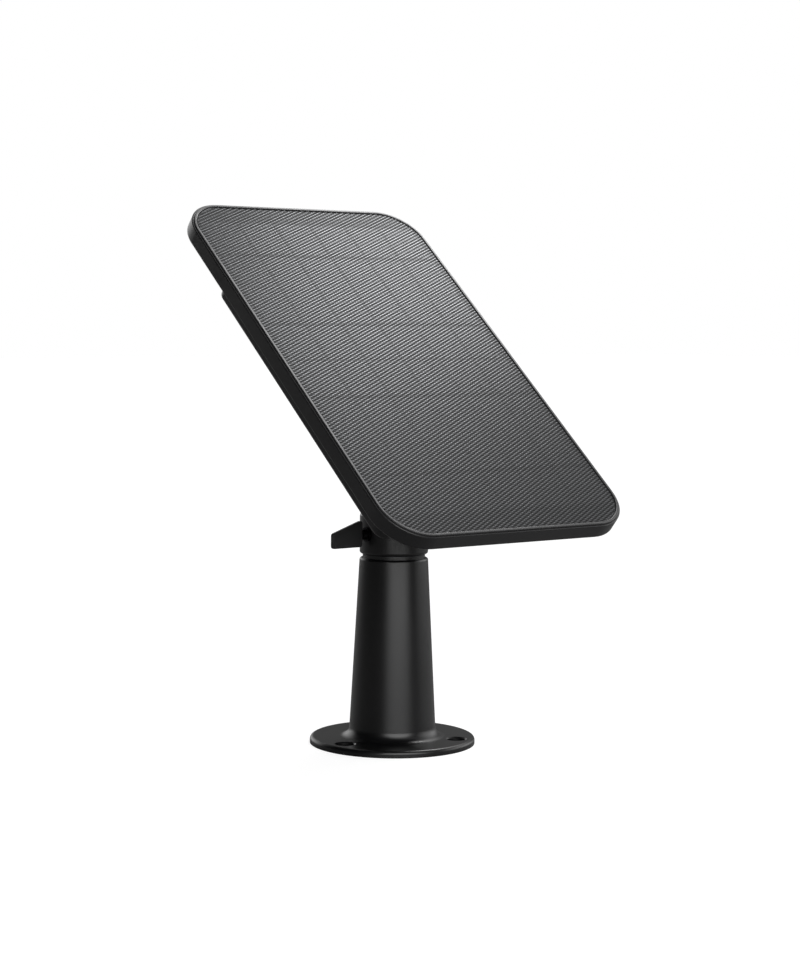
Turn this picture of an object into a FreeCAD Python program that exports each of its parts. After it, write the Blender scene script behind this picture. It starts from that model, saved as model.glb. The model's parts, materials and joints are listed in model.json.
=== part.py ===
import FreeCAD, Part
import math
import os
from FreeCAD import Vector, Placement, Rotation

os.makedirs("parts", exist_ok=True)

# A small solar charging panel on a screw-down stand with a ball head.
# Millimetres. The origin is the centre of the flange's underside, +Z is up, and
# the panel faces -Y and up. The panel's pieces are drawn flat, face up, with the
# face in the plane z = 0, and are then tilted into place over the ball.

# ---- driving dimensions ----------------------------------------------------

# panel housing
panel_width = 115.0
panel_length = 190.0
panel_corner_r = 18.0
housing_depth = 6.8
housing_floor = 2.0
housing_edge_r = 0.8
housing_lip_drop = 0.6
bezel_inset = 0.8
bezel_wall = 1.2
ledge_width = 1.0
ledge_drop = 3.0
window_width = 12.0
window_length = 16.0
window_inset = 14.0

# laminate, from the face down
film_drop = 0.4
film_thickness = 0.3
encapsulant_thickness = 0.8
laminate_gap = 0.1
cell_columns = 6
cell_side_margin = 2.2
cell_end_margin = 9.4
cell_gap = 0.95
cell_thickness = 0.2
ribbon_width = 1.9
ribbon_thickness = 0.12
support_pad_width = 8.0

# rear cover
cover_side_inset = 6.8
cover_top_inset = 36.2
cover_bottom_inset = 14.5
cover_depth = 9.2
cover_wall = 2.0
cover_corner_r = 5.0
cover_edge_r = 1.4
gasket_thickness = 0.8
gasket_width = 1.6
gasket_inset = 0.5
post_d = 7.0
post_inset = 3.2
post_bore_d = 2.9
boss_height = 3.6
screw_d = 2.6
screw_head_d = 5.0
screw_head_h = 1.8
screw_bite = 3.2
pilot_skin = 0.5

# circuit board and its parts
board_width = 56.0
board_length = 34.0
board_thickness = 1.6
board_drop = 28.0
part_clearance = 0.6
standoff_d = 5.0
board_screw_d = 1.8
board_screw_head_d = 3.4
board_screw_head_h = 1.1
inductor_size = 7.0
inductor_height = 2.4
chip_size = 5.0
chip_height = 1.4
capacitor_length = 6.0
capacitor_width = 3.2
capacitor_height = 1.8
diode_length = 4.4
diode_width = 2.6
diode_height = 2.0
lead_width = 2.0
lead_thickness = 0.3
lead_spacing = 6.0

# cable gland in the cover's lower wall
gland_x = 28.0
gland_bore_d = 3.2
gland_seal_wall = 0.4
gland_clearance = 0.2
gland_nut_length = 4.0
gland_inner_length = 2.0

# mounting boss and threaded insert in the cover
mount_drop = 36.6
mount_boss_d = 26.0
mount_boss_height = 8.0
insert_d = 9.4
insert_length = 11.5
insert_skin = 1.6
socket_d = 15.0

# ball stud, lock wheel and washer
tilt_angle = 40.0
ball_to_face = 51.1
ball_d = 17.0
neck_d = 6.4
shoulder_d = 17.0
shoulder_height = 3.0
thread_d = 6.35
thread_reach = 9.0
wheel_d = 25.0
wheel_height = 6.0
wheel_groove_count = 24
wheel_groove_r = 0.8
washer_d = 23.0
washer_thickness = 1.5
face_gap = 0.1
wheel_travel = 0.9

# ball head
head_d = 27.0
head_floor = 3.1
head_bottom_r = 1.1
head_top_r = 0.9
ball_floor_gap = 2.3
ball_center_drop = 2.0
ring_wall = 2.5
ring_grip = 2.6
ring_slot_width = 2.0
ring_slot_depth = 1.0
seat_wall = 0.7
seat_nose_wall = 2.2
spring_height = 2.9
spring_overhang = 0.5
spring_wall = 1.7
fit_gap = 0.05
bush_d = 6.0
clamp_d = 4.0
clamp_engagement = 1.3
shoe_gap = 0.3

# lever
lever_gap = 2.4
lever_length = 14.3
lever_thickness = 1.6
lever_tip_height = 5.8
lever_rise = 5.8
lever_fall = 4.8
lever_corner_r = 1.0
lever_edge_r = 0.3
tongue_thickness = 0.7
tongue_length = 6.0
lever_washer_d = 5.4
lever_washer_thickness = 0.6

# cone stand
flange_d = 65.3
flange_thickness = 2.7
flange_edge_r = 1.3
cone_foot_d = 34.5
cone_top_d = 27.0
stand_height = 73.7
cone_wall = 2.2
cone_top_wall = 5.0
cone_top_r = 0.9
foot_fillet_r = 4.0
hole_circle_d = 52.0
hole_d = 7.4
hole_count = 3
hole_angle = 68.0
hole_chamfer = 0.5
pad_inset = 1.0
pad_thickness = 0.9

# swivel between stand and head
head_gap = 1.5
neck_ring_inset = 1.2
neck_ring_recess = 1.0
neck_ring_gap = 0.1
bolt_d = 5.0
bolt_head_d = 8.5
bolt_head_h = 4.0
bolt_socket_flats = 4.0
nut_flats = 8.0
nut_height = 2.0
swivel_washer_d = 14.0
swivel_washer_thickness = 1.0

# ---- places that follow from the driving dimensions -------------------------

housing_back = -housing_depth
floor_top = housing_back + housing_floor
cover_front = housing_back - gasket_thickness
cover_back = housing_back - cover_depth
boss_face = cover_back - mount_boss_height
laminate_width = panel_width - 2 * (bezel_inset + bezel_wall + laminate_gap)
laminate_length = panel_length - 2 * (bezel_inset + bezel_wall + laminate_gap)
laminate_corner_r = panel_corner_r - bezel_inset - bezel_wall - laminate_gap
film_back = -film_drop - film_thickness
encapsulant_back = film_back - encapsulant_thickness
board_back = -ledge_drop
cell_pitch = (laminate_width - 2 * cell_side_margin) / cell_columns
bank_pitch = laminate_length / 2 - cell_end_margin
cover_width = panel_width - 2 * cover_side_inset
cover_length = panel_length - cover_top_inset - cover_bottom_inset
cover_shift = (cover_bottom_inset - cover_top_inset) / 2
window_y = panel_length / 2 - cover_top_inset - cover_wall - window_inset - window_length / 2
board_y = window_y - board_drop
board_rear = cover_back + cover_wall + part_clearance + inductor_height
board_face = board_rear + board_thickness
gland_room = cover_front - cover_back - cover_wall
gland_axis_z = cover_front - gland_room / 2
gland_body_d = gland_room - 2 * gland_clearance
gland_seal_d = gland_bore_d + 2 * gland_seal_wall
gland_nut_flats = math.sqrt(3) * (gland_room / 2 + gasket_thickness - gland_clearance)

head_bottom = stand_height + head_gap
ball_r = ball_d / 2
ball_center_z = head_bottom + head_floor + ball_floor_gap + ball_r
head_top = ball_center_z + ball_center_drop
ring_bottom = ball_center_z - ring_grip
ring_d = ball_d + 2 * ring_wall
seat_d = ball_d + 2 * seat_wall
clamp_z = ring_bottom - face_gap - bush_d / 2
lever_base = head_d / 2 + lever_gap
seat_bottom = head_bottom + head_floor + spring_height
seat_nose_r = math.sqrt((ball_r + fit_gap) ** 2 - (ball_center_z - seat_bottom) ** 2) + seat_nose_wall
neck_ring_d = cone_top_d - 2 * neck_ring_inset

PANEL_PLACE = Placement(
    Vector(0, 0, ball_center_z),
    Rotation(Vector(1, 0, 0), tilt_angle),
).multiply(Placement(Vector(0, mount_drop, ball_to_face), Rotation()))
STUD_PLACE = Placement(Vector(0, 0, ball_center_z), Rotation(Vector(1, 0, 0), tilt_angle))


# ---- shape helpers -----------------------------------------------------------

def rounded_slab(width, length, radius, bottom, top, center_y=0.0, center_x=0.0):
    """A flat plate with round corners, from z = bottom to z = top."""
    corner = Vector(center_x - width / 2, center_y - length / 2, bottom)
    slab = Part.makeBox(width, length, top - bottom, corner)
    corners = [e for e in slab.Edges if e.BoundBox.ZLength > 1e-6 and e.BoundBox.XLength < 1e-6
               and e.BoundBox.YLength < 1e-6]
    return slab.makeFillet(radius, corners)


def disc(diameter, bottom, top, x=0.0, y=0.0):
    """An upright cylinder from z = bottom to z = top."""
    return Part.makeCylinder(diameter / 2, top - bottom, Vector(x, y, bottom))


def tube(outer_d, inner_d, bottom, top, x=0.0, y=0.0):
    """An upright ring with a square section."""
    return disc(outer_d, bottom, top, x, y).cut(disc(inner_d, bottom, top, x, y))


def box(width, length, bottom, top, x=0.0, y=0.0):
    """A block centred on x, y, from z = bottom to z = top."""
    return Part.makeBox(width, length, top - bottom, Vector(x - width / 2, y - length / 2, bottom))


def turned(points):
    """The solid of revolution about Z of a closed outline of (radius, height) points."""
    wire = Part.makePolygon([Vector(r, 0, z) for r, z in points + points[:1]])
    return Part.Face(wire).revolve(Vector(0, 0, 0), Vector(0, 0, 1), 360)


def hexagon(flats, bottom, top):
    """An upright hexagonal prism, measured across its flats."""
    radius = flats / math.sqrt(3)
    ring = [Vector(radius * math.cos(math.radians(60 * k)), radius * math.sin(math.radians(60 * k)), bottom)
            for k in range(7)]
    return Part.Face(Part.makePolygon(ring)).extrude(Vector(0, 0, top - bottom))


def edges_at(shape, height):
    """The edges that lie flat in the plane z = height."""
    return [e for e in shape.Edges
            if abs(e.BoundBox.ZMin - height) < 1e-4 and abs(e.BoundBox.ZMax - height) < 1e-4]


def outer_edges_at(shape, height):
    """The outermost loop of flat edges at z = height."""
    faces = [f for f in shape.Faces
             if f.BoundBox.ZLength < 1e-4 and abs(f.BoundBox.ZMin - height) < 1e-4]
    widest = max(faces, key=lambda f: f.BoundBox.XLength)
    return widest.OuterWire.Edges


def along_clamp(shape):
    """Lays a shape drawn along +Z onto the clamp axis, which runs out along -X."""
    lying = shape.copy()
    clamp_place = Placement(Vector(0, 0, clamp_z), Rotation(Vector(0, 1, 0), -90))
    lying.Placement = clamp_place.multiply(lying.Placement)
    return lying


def placed(shape, place):
    """A copy of a shape moved to a place."""
    moved = shape.copy()
    moved.Placement = place.multiply(moved.Placement)
    return moved


def save(name, shape):
    """Writes one sub-part."""
    shape.exportStep(os.path.join("parts", name + ".step"))


# ---- panel: housing, bezel and laminate --------------------------------------

def post_places():
    """Screw places: near the cover's four corners, and one halfway up each side."""
    x = cover_width / 2 - post_inset - post_d / 2
    top = cover_shift + cover_length / 2 - post_inset - post_d / 2
    bottom = cover_shift - cover_length / 2 + post_inset + post_d / 2
    return [(sx * x, y) for y in (top, (top + bottom) / 2, bottom) for sx in (-1, 1)]


def standoff_places():
    """The circuit board's four screws."""
    x = board_width / 2 - standoff_d / 2
    y = board_length / 2 - standoff_d / 2
    return [(sx * x, board_y + sy * y) for sx in (-1, 1) for sy in (-1, 1)]


def make_rear_housing():
    """The moulded tray: floor, side wall, laminate ledge, bezel rebate and screw bosses."""
    lip = -housing_lip_drop
    tray = rounded_slab(panel_width, panel_length, panel_corner_r, housing_back, lip)
    tray = tray.makeFillet(housing_edge_r, outer_edges_at(tray, housing_back))
    tray = tray.makeFillet(bezel_inset / 2, outer_edges_at(tray, lip))
    rebate_inset = bezel_inset - fit_gap
    rebate = rounded_slab(panel_width - 2 * rebate_inset, panel_length - 2 * rebate_inset,
                          panel_corner_r - rebate_inset, board_back, 0)
    cavity_inset = bezel_inset + bezel_wall + ledge_width
    cavity = rounded_slab(panel_width - 2 * cavity_inset, panel_length - 2 * cavity_inset,
                          panel_corner_r - cavity_inset, floor_top, board_back)
    tray = tray.cut(rebate).cut(cavity)
    tray = tray.cut(box(window_width, window_length, housing_back, floor_top, 0, window_y))
    for x, y in post_places():
        tray = tray.fuse(disc(post_d, housing_back - boss_height, housing_back, x, y))
        tray = tray.cut(disc(screw_d - 2 * fit_gap, housing_back - boss_height, floor_top - pilot_skin, x, y))
    for x, y in standoff_places():
        tray = tray.fuse(disc(standoff_d, board_face, housing_back, x, y))
        tray = tray.cut(disc(board_screw_d - 2 * fit_gap, board_face, floor_top - pilot_skin, x, y))
    return tray.removeSplitter()


def make_front_bezel():
    """The raised rim that frames the laminate."""
    outer = rounded_slab(panel_width - 2 * bezel_inset, panel_length - 2 * bezel_inset,
                         panel_corner_r - bezel_inset, board_back, 0)
    inner_inset = bezel_inset + bezel_wall
    opening = rounded_slab(panel_width - 2 * inner_inset, panel_length - 2 * inner_inset,
                           panel_corner_r - inner_inset, board_back, 0)
    ring = outer.cut(opening)
    return ring.makeFillet(bezel_wall / 4, edges_at(ring, 0))


def laminate_layer(bottom, top):
    """One full sheet of the laminate."""
    return rounded_slab(laminate_width, laminate_length, laminate_corner_r, bottom, top)


def cell_center(bank, column):
    """The middle of one cell; bank is +1 above the panel's middle and -1 below it."""
    x = (column - (cell_columns - 1) / 2) * cell_pitch
    return x, bank * bank_pitch / 2


def make_cell(bank, column):
    """One cell: a strip of silicon that is half the panel long."""
    x, y = cell_center(bank, column)
    return box(cell_pitch - cell_gap, bank_pitch - cell_gap, encapsulant_back,
               encapsulant_back + cell_thickness, x, y)


def make_busbar_ribbons():
    """Two tinned ribbons across the face of every cell, a quarter of its length from each end."""
    bottom = encapsulant_back + cell_thickness
    ribbons = []
    for bank in (1, -1):
        for column in range(cell_columns):
            x, y = cell_center(bank, column)
            for side in (1, -1):
                ribbons.append(box(cell_pitch - 2 * cell_gap, ribbon_width, bottom,
                                   bottom + ribbon_thickness, x, y + side * bank_pitch / 4))
    return Part.makeCompound(ribbons)


def make_support_pads():
    """Four foam strips that hold the laminate off the housing's floor."""
    pads = []
    length = panel_length - 2 * (bezel_inset + bezel_wall + ledge_width + panel_corner_r)
    for x in (-3, -1, 1, 3):
        pads.append(box(support_pad_width, length, floor_top, board_back, x * panel_width / 8))
    return Part.makeCompound(pads)


def make_lead_ribbons():
    """Two copper strips from the laminate, through the housing's window, to the circuit board."""
    start_y = window_y + window_length / 2 - 1.0
    end_y = board_y + board_length / 2 - 1.0
    bend_y = window_y - window_length / 2 + 1.0
    leads = []
    for side in (-1, 1):
        x = side * lead_spacing / 2
        pad = box(lead_width, start_y - bend_y, board_back - lead_thickness, board_back,
                  x, (start_y + bend_y) / 2)
        drop = box(lead_width, lead_thickness, board_face, board_back, x, bend_y - lead_thickness / 2)
        foot = box(lead_width, bend_y - end_y, board_face, board_face + lead_thickness,
                   x, (bend_y + end_y) / 2)
        leads.append(pad.fuse(drop).fuse(foot).removeSplitter())
    return Part.makeCompound(leads)


# ---- panel: rear cover and what is inside it ----------------------------------

def along_gland(shape):
    """Lays a shape drawn up from z = 0 along the gland's axis, outward through the lower wall."""
    wall_y = cover_shift - cover_length / 2
    place = Placement(Vector(gland_x, wall_y, gland_axis_z), Rotation(Vector(1, 0, 0), 90))
    return placed(shape, place)


def make_rear_cover():
    """The deep back cover with its screw posts, mounting boss and gland hole."""
    shell = rounded_slab(cover_width, cover_length, cover_corner_r, cover_back, cover_front, cover_shift)
    shell = shell.makeFillet(cover_edge_r, outer_edges_at(shell, cover_back))
    inside = rounded_slab(cover_width - 2 * cover_wall, cover_length - 2 * cover_wall,
                          cover_corner_r - cover_wall, cover_back + cover_wall, cover_front, cover_shift)
    shell = shell.cut(inside)
    boss = disc(mount_boss_d, boss_face, cover_back + cover_wall, 0, -mount_drop)
    socket = disc(socket_d, boss_face, boss_face + insert_length + insert_skin, 0, -mount_drop)
    shell = shell.fuse(boss).fuse(socket)
    shell = shell.cut(disc(insert_d, boss_face, boss_face + insert_length, 0, -mount_drop))
    post_front = housing_back - boss_height
    seat = post_front - screw_bite
    for x, y in post_places():
        shell = shell.fuse(disc(post_d, cover_back, post_front, x, y))
    for x, y in post_places():
        shell = shell.cut(disc(post_bore_d, cover_back, post_front, x, y))
        shell = shell.cut(disc(screw_head_d + 4 * fit_gap, cover_back, seat, x, y))
    shell = shell.cut(along_gland(disc(gland_body_d, -cover_wall, 0)))
    shell = shell.removeSplitter()
    rim = [e for e in edges_at(shell, boss_face) if e.BoundBox.XLength > mount_boss_d - 0.1]
    return shell.makeFillet(cover_edge_r / 2, rim)


def make_cover_gasket():
    """The rubber seal between the cover and the housing."""
    outer = rounded_slab(cover_width - 2 * gasket_inset, cover_length - 2 * gasket_inset,
                         cover_corner_r - gasket_inset, cover_front, housing_back, cover_shift)
    inset = gasket_inset + gasket_width
    opening = rounded_slab(cover_width - 2 * inset, cover_length - 2 * inset,
                           cover_corner_r - inset, cover_front, housing_back, cover_shift)
    return outer.cut(opening)


def pan_screw(head_d, head_h, shank_d, seat, length, x, y):
    """A pan-head screw whose head sits below z = seat and whose shank runs up from it."""
    head = disc(head_d, seat - head_h, seat, x, y)
    head = head.makeFillet(head_h / 3, edges_at(head, seat - head_h))
    shank = disc(shank_d, seat, seat + length, x, y)
    slot_depth = head_h / 2
    recess = box(head_d / 2, head_h / 3, seat - head_h, seat - head_h + slot_depth, x, y)
    cross = box(head_h / 3, head_d / 2, seat - head_h, seat - head_h + slot_depth, x, y)
    return head.fuse(shank).cut(recess).cut(cross)


def make_cover_screws():
    """The screws that hold the cover to the housing's bosses."""
    seat = housing_back - boss_height - screw_bite
    length = screw_bite + boss_height + housing_floor / 4
    return Part.makeCompound([pan_screw(screw_head_d, screw_head_h, screw_d - 2 * fit_gap, seat, length, x, y)
                              for x, y in post_places()])


def make_circuit_board():
    """The charge regulator's board, screwed to four standoffs."""
    board = box(board_width, board_length, board_rear, board_face, 0, board_y)
    for x, y in standoff_places():
        board = board.cut(disc(board_screw_d + 4 * fit_gap, board_rear, board_face, x, y))
    return board


def make_board_screws():
    """Four small screws through the circuit board."""
    length = housing_back - board_rear
    return Part.makeCompound([pan_screw(board_screw_head_d, board_screw_head_h, board_screw_d - 2 * fit_gap,
                                        board_rear, length, x, y) for x, y in standoff_places()])


def on_board(width, length, height, x, y):
    """A block that stands on the circuit board's rear face."""
    return box(width, length, board_rear - height, board_rear, x, board_y + y)


def make_inductor():
    """The shielded power inductor, a block with cut corners."""
    block = on_board(inductor_size, inductor_size, inductor_height, -12, 2)
    corners = [e for e in block.Edges if e.BoundBox.ZLength > inductor_height / 2]
    return block.makeChamfer(inductor_size / 6, corners)


def make_output_capacitors():
    """Two ceramic capacitors side by side."""
    return Part.makeCompound([on_board(capacitor_width, capacitor_length, capacitor_height, 12 + k * 5, -4)
                              for k in (0, 1)])


def make_threaded_insert():
    """The brass insert that takes the stud's thread."""
    body = disc(insert_d - 2 * fit_gap, boss_face + face_gap, boss_face + insert_length, 0, -mount_drop)
    for k in (1, 2):
        middle = boss_face + k * insert_length / 3
        groove = tube(insert_d + 1, insert_d - 0.8, middle - 0.6, middle + 0.6, 0, -mount_drop)
        body = body.cut(groove)
    return body.cut(disc(thread_d + 2 * fit_gap, boss_face, boss_face + insert_length, 0, -mount_drop))


def make_cable_gland():
    """The gland's body: a sleeve through the wall and a six-sided nut outside it."""
    sleeve = disc(gland_body_d - 2 * fit_gap, -cover_wall - gland_inner_length, 0)
    nut = hexagon(gland_nut_flats, 0, gland_nut_length)
    corner_r = gland_nut_flats / math.sqrt(3)
    nut = nut.common(turned([(0, 0), (corner_r, 0), (corner_r, gland_nut_length - gland_clearance),
                             (corner_r - 2 * gland_clearance, gland_nut_length), (0, gland_nut_length)]))
    bore = disc(gland_seal_d, -cover_wall - gland_inner_length, gland_nut_length)
    return along_gland(sleeve.fuse(nut).cut(bore))


def make_gland_seal():
    """The rubber sleeve that grips a cable inside the gland."""
    return along_gland(tube(gland_seal_d, gland_bore_d, -cover_wall - gland_inner_length, gland_nut_length))


# ---- ball stud, lock wheel and washer ------------------------------------------

def stud_lengths():
    """Distances along the stud from the ball's centre: boss face, washer, wheel and shoulder."""
    face = ball_to_face + boss_face
    washer_back = face - face_gap - washer_thickness
    wheel_back = washer_back - wheel_height
    shoulder_top = wheel_back - wheel_travel - face_gap
    return face, washer_back, wheel_back, shoulder_top


def make_ball_stud():
    """The ball, its neck, the shoulder and the threaded end, in one turned piece."""
    face, washer_back, wheel_back, shoulder_top = stud_lengths()
    ball = Part.makeSphere(ball_r)
    neck = disc(neck_d, 0, shoulder_top)
    shoulder = disc(shoulder_d, shoulder_top - shoulder_height, shoulder_top)
    shoulder = shoulder.makeChamfer(shoulder_height / 5, edges_at(shoulder, shoulder_top - shoulder_height))
    thread = disc(thread_d, shoulder_top, face + thread_reach)
    thread = thread.makeChamfer(thread_d / 10, edges_at(thread, face + thread_reach))
    stud = ball.fuse(neck).fuse(shoulder).fuse(thread)
    return stud.removeSplitter()


def make_lock_wheel():
    """The knurled wheel that is run up against the panel's boss."""
    face, washer_back, wheel_back, shoulder_top = stud_lengths()
    wheel = disc(wheel_d, wheel_back, washer_back)
    wheel = wheel.makeChamfer(wheel_groove_r / 2, wheel.Edges)
    wheel = wheel.cut(disc(thread_d + 2 * fit_gap, wheel_back, washer_back))
    grooves = []
    for k in range(wheel_groove_count):
        angle = math.radians(360 * k / wheel_groove_count)
        grooves.append(disc(2 * wheel_groove_r, wheel_back, washer_back,
                            wheel_d / 2 * math.cos(angle), wheel_d / 2 * math.sin(angle)))
    return wheel.cut(Part.makeCompound(grooves))


def make_stud_washer():
    """The rubber washer between the wheel and the boss."""
    face, washer_back, wheel_back, shoulder_top = stud_lengths()
    return tube(washer_d, thread_d + 2 * fit_gap, washer_back, face - face_gap)


# ---- ball head -------------------------------------------------------------------

def make_head_shell():
    """The cup that holds the ball, with the clamp's bush hole in its side."""
    shell = disc(head_d, head_bottom, head_top)
    shell = shell.makeFillet(head_bottom_r, edges_at(shell, head_bottom))
    shell = shell.makeFillet(head_top_r, edges_at(shell, head_top))
    floor = head_bottom + head_floor
    shell = shell.cut(disc(seat_d + 2 * fit_gap, floor, ring_bottom))
    shell = shell.cut(disc(ring_d, ring_bottom, head_top))
    shell = shell.cut(disc(bolt_d + 2 * fit_gap, head_bottom, floor))
    shell = shell.cut(hexagon(nut_flats + 2 * fit_gap, floor - nut_height, floor))
    return shell.cut(along_clamp(disc(bush_d, 0, head_d / 2)))


def make_retaining_ring():
    """The threaded ring that keeps the ball in the cup, with two slots for a pin wrench."""
    ring = disc(ring_d - 2 * fit_gap, ring_bottom, head_top - head_top_r / 3)
    socket = Part.makeSphere(ball_r + fit_gap, Vector(0, 0, ball_center_z))
    straight = disc(ball_d + 2 * fit_gap, ring_bottom, ball_center_z)
    ring = ring.cut(socket).cut(straight)
    slot = box(ring_d, ring_slot_width, head_top - ring_slot_depth, head_top)
    return ring.cut(slot)


def make_ball_seat():
    """The plastic seat under the ball; its cone rides up on the clamp's shoe."""
    top = ring_bottom - face_gap
    shoulder = (seat_bottom + top) / 2
    seat = turned([(0, seat_bottom), (seat_nose_r, seat_bottom), (seat_d / 2, shoulder),
                   (seat_d / 2, top), (0, top)])
    return seat.cut(Part.makeSphere(ball_r + fit_gap, Vector(0, 0, ball_center_z)))


def make_seat_spring():
    """The flat wave spring that keeps the seat against the ball."""
    outer_r = seat_nose_r + spring_overhang
    return tube(2 * outer_r, 2 * (outer_r - spring_wall), head_bottom + head_floor, seat_bottom)


def make_clamp_bush():
    """The brass bush that carries the clamp screw's thread."""
    start = seat_d / 2 + fit_gap
    bush = along_clamp(tube(bush_d - 2 * fit_gap, clamp_d + 2 * fit_gap, start, head_d / 2 + 1))
    return bush.common(disc(head_d - 2 * fit_gap, clamp_z - bush_d, clamp_z + bush_d))


def shoe_end():
    """Distance from the head's axis to where the shoe meets the clamp screw."""
    return head_d / 2 - clamp_engagement


def make_pressure_shoe():
    """The small plastic plug between the clamp screw and the seat."""
    return along_clamp(disc(clamp_d, seat_d / 2 + shoe_gap, shoe_end()))


def clamp_tongue():
    """The clamp screw's flattened end, which the lever is moulded over."""
    return along_clamp(box(clamp_d, tongue_thickness, lever_base, lever_base + tongue_length))


def make_clamp_screw():
    """The screw that the lever turns, threaded through the bush."""
    shank = along_clamp(disc(clamp_d, shoe_end(), lever_base))
    return shank.fuse(clamp_tongue())


def make_lever_washer():
    """The plain washer between the head and the lever."""
    start = head_d / 2 + fit_gap
    return along_clamp(tube(lever_washer_d, clamp_d + 2 * fit_gap, start, start + lever_washer_thickness))


def make_lever_paddle():
    """The thumb paddle: a flat plate that tapers away from the head, with soft edges."""
    tip = lever_base + lever_length
    low = clamp_z - lever_fall
    outline = [Vector(-lever_base, 0, low), Vector(-lever_base, 0, clamp_z + lever_rise),
               Vector(-tip, 0, low + lever_tip_height), Vector(-tip, 0, low)]
    face = Part.Face(Part.makePolygon(outline + outline[:1]))
    face.translate(Vector(0, -lever_thickness / 2, 0))
    blade = face.extrude(Vector(0, lever_thickness, 0))
    corners = [e for e in blade.Edges if e.BoundBox.YLength > lever_thickness / 2]
    blade = blade.makeFillet(lever_corner_r, corners)
    blade = blade.makeFillet(lever_edge_r, [e for e in blade.Edges if e.BoundBox.YLength < 1e-4])
    return blade.cut(clamp_tongue())


# ---- stand ------------------------------------------------------------------------

def make_stand_cone():
    """The hollow tapered post and its round screw-down flange."""
    outside = turned([(0, 0), (flange_d / 2, 0), (flange_d / 2, flange_thickness),
                      (cone_foot_d / 2, flange_thickness), (cone_top_d / 2, stand_height), (0, stand_height)])
    outside = outside.makeFillet(foot_fillet_r, [e for e in edges_at(outside, flange_thickness)
                                                 if e.BoundBox.XLength < cone_foot_d + 1])
    outside = outside.makeFillet(flange_edge_r, [e for e in edges_at(outside, flange_thickness)
                                                 if e.BoundBox.XLength > flange_d - 1])
    outside = outside.makeFillet(cone_top_r, edges_at(outside, stand_height))
    inner_top = stand_height - cone_top_wall
    slope = (cone_foot_d - cone_top_d) / 2 / (stand_height - flange_thickness)
    inner_foot_r = cone_foot_d / 2 - cone_wall
    inner_top_r = inner_foot_r - slope * (inner_top - flange_thickness)
    hollow = turned([(0, 0), (inner_foot_r, 0), (inner_foot_r, flange_thickness),
                     (inner_top_r, inner_top), (0, inner_top)])
    cone = outside.cut(hollow)
    cone = cone.cut(disc(neck_ring_d + 2 * fit_gap, stand_height - neck_ring_recess, stand_height))
    cone = cone.cut(disc(bolt_d + 2 * fit_gap, inner_top, stand_height))
    for x, y in base_hole_places():
        cone = cone.cut(disc(hole_d, 0, flange_thickness, x, y))
        mouth = Part.makeCone(hole_d / 2, hole_d / 2 + hole_chamfer, hole_chamfer,
                              Vector(x, y, flange_thickness - hole_chamfer))
        cone = cone.cut(mouth)
    pad_room = tube(flange_d - 2 * pad_inset, 2 * inner_foot_r + 2 * pad_inset, 0, pad_thickness)
    return cone.cut(pad_room)


def base_hole_places():
    """Centres of the screw holes in the flange."""
    angles = [math.radians(hole_angle + 360 * k / hole_count) for k in range(hole_count)]
    return [(hole_circle_d / 2 * math.cos(a), hole_circle_d / 2 * math.sin(a)) for a in angles]


def make_base_pad():
    """The rubber pad let into the flange's underside."""
    inner_foot_d = cone_foot_d - 2 * cone_wall
    pad = tube(flange_d - 2 * pad_inset - 4 * fit_gap, inner_foot_d + 2 * pad_inset + 4 * fit_gap,
               0, pad_thickness)
    for x, y in base_hole_places():
        pad = pad.cut(disc(hole_d, 0, pad_thickness, x, y))
    return pad


def make_neck_ring():
    """The dark friction ring that the head turns on."""
    return tube(neck_ring_d, bolt_d + 2, stand_height - neck_ring_recess, head_bottom - neck_ring_gap)


def make_swivel_washer():
    """The wave washer under the stand's top wall."""
    top = stand_height - cone_top_wall
    return tube(swivel_washer_d, bolt_d + 2 * fit_gap, top - swivel_washer_thickness, top)


def make_swivel_bolt():
    """The socket-head bolt that joins the head to the stand."""
    seat = stand_height - cone_top_wall - swivel_washer_thickness - neck_ring_gap
    head = disc(bolt_head_d, seat - bolt_head_h, seat)
    head = head.makeChamfer(bolt_head_h / 10, edges_at(head, seat - bolt_head_h))
    head = head.cut(hexagon(bolt_socket_flats, seat - bolt_head_h, seat - bolt_head_h / 3))
    return head.fuse(disc(bolt_d, seat, head_bottom + head_floor))


def make_swivel_nut():
    """The nut let into the head's floor, on the swivel bolt."""
    floor = head_bottom + head_floor
    return hexagon(nut_flats, floor - nut_height, floor).cut(disc(bolt_d, floor - nut_height, floor))


# ---- build --------------------------------------------------------------------------

def build_panel():
    """Everything that tilts and spins with the panel."""
    pieces = {
        "rear_housing": make_rear_housing(),
        "front_bezel": make_front_bezel(),
        "cover_film": laminate_layer(film_back, -film_drop),
        "busbar_ribbons": make_busbar_ribbons(),
        "backing_board": laminate_layer(board_back, encapsulant_back),
        "support_pads": make_support_pads(),
        "lead_ribbons": make_lead_ribbons(),
        "rear_cover": make_rear_cover(),
        "cover_gasket": make_cover_gasket(),
        "cover_screws": make_cover_screws(),
        "circuit_board": make_circuit_board(),
        "board_screws": make_board_screws(),
        "inductor": make_inductor(),
        "regulator_chip": on_board(chip_size, chip_size, chip_height, 0, 2),
        "output_capacitors": make_output_capacitors(),
        "blocking_diode": on_board(diode_length, diode_width, diode_height, 14, 7),
        "threaded_insert": make_threaded_insert(),
        "cable_gland": make_cable_gland(),
        "gland_seal": make_gland_seal(),
    }
    encapsulant = laminate_layer(encapsulant_back, film_back)
    for bank, name in ((1, "cell_upper"), (-1, "cell_lower")):
        for column in range(cell_columns):
            cell = make_cell(bank, column)
            encapsulant = encapsulant.cut(cell)
            pieces[name + "_" + str(column + 1)] = cell
    pieces["encapsulant"] = encapsulant.cut(pieces["busbar_ribbons"])
    for name, shape in pieces.items():
        save(name, placed(shape, PANEL_PLACE))


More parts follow.
